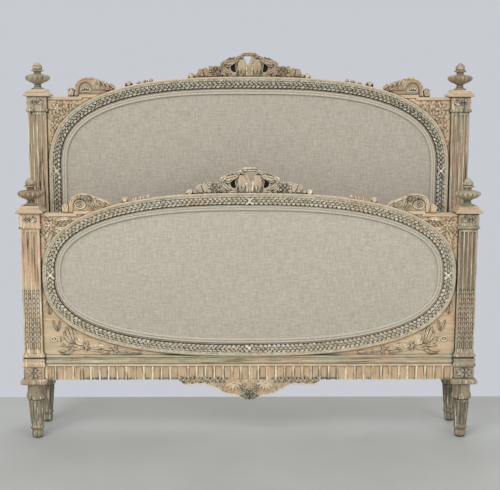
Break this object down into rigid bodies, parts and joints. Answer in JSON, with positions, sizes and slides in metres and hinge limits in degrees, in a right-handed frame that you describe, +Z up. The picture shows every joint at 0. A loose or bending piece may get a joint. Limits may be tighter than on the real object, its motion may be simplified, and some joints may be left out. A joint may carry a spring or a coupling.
{
  "type": "bedstead",
  "caption": "Carved and painted bedstead in two parts: a high arched head board and a lower foot board, each with fluted posts and a padded linen panel.",
  "frame": {"origin": "on the floor, midway between the two boards and between their left and right posts", "axes": "+X along the width, to the viewer's right from the front; the fronts of both boards face -Y, and the foot board stands on the -Y side; +Z up"},
  "size_m": [1.676, 0.286, 1.422],
  "materials": {
    "painted_wood": "distressed matt paint over wood",
    "painted_carving": "distressed matt paint with worn highlights",
    "linen": "plain slubby linen",
    "welt_cord": "covered cord",
    "wadding": "cotton wadding",
    "bare_wood": "bare waxed wood",
    "backing_board": "unfinished board",
    "back_cloth": "close plain weave",
    "tack_iron": "blued"
  },
  "bodies": {
    "headboard": {"head_post_left": "painted_wood", "head_post_right": "painted_wood", "head_cap_left": "painted_wood", "head_cap_right": "painted_wood", "head_finial_left": "painted_wood", "head_finial_right": "painted_wood", "head_apron_rail": "painted_wood", "head_bottom_rail": "painted_wood", "head_stile_left": "painted_wood", "head_stile_right": "painted_wood", "head_top_rail": "painted_wood", "head_pegs": "bare_wood", "head_carved_band": "painted_carving", "head_welt": "welt_cord", "head_linen_cover": "linen", "head_padding": "wadding", "head_backing_board": "backing_board", "head_back_cloth": "back_cloth", "head_back_tacks": "tack_iron", "head_crest": "painted_carving", "head_scroll_left": "painted_carving", "head_scroll_right": "painted_carving", "head_sprigs": "painted_carving", "head_rosettes": "painted_carving", "head_spray_left": "painted_carving", "head_spray_right": "painted_carving"},
    "footboard": {"foot_post_left": "painted_wood", "foot_post_right": "painted_wood", "foot_cap_left": "painted_wood", "foot_cap_right": "painted_wood", "foot_finial_left": "painted_wood", "foot_finial_right": "painted_wood", "foot_apron_rail": "painted_wood", "foot_apron_moulding": "painted_wood", "foot_bottom_rail": "painted_wood", "foot_stile_left": "painted_wood", "foot_stile_right": "painted_wood", "foot_top_rail": "painted_wood", "foot_pegs": "bare_wood", "foot_carved_band": "painted_carving", "foot_welt": "welt_cord", "foot_linen_cover": "linen", "foot_padding": "wadding", "foot_backing_board": "backing_board", "foot_back_cloth": "back_cloth", "foot_back_tacks": "tack_iron", "foot_crest": "painted_carving", "foot_scroll_left": "painted_carving", "foot_scroll_right": "painted_carving", "foot_sprigs": "painted_carving", "foot_pendant": "painted_carving", "foot_rosettes": "painted_carving", "foot_spray_upper_left": "painted_carving", "foot_spray_upper_right": "painted_carving", "foot_spray_lower_left": "painted_carving", "foot_spray_lower_right": "painted_carving"}
  },
  "joints": [
    {"name": "footboard_slide", "type": "slide", "parent": "headboard", "child": "footboard", "axis": [0, -1, 0], "range_m": [0, 1.9]}
  ]
}
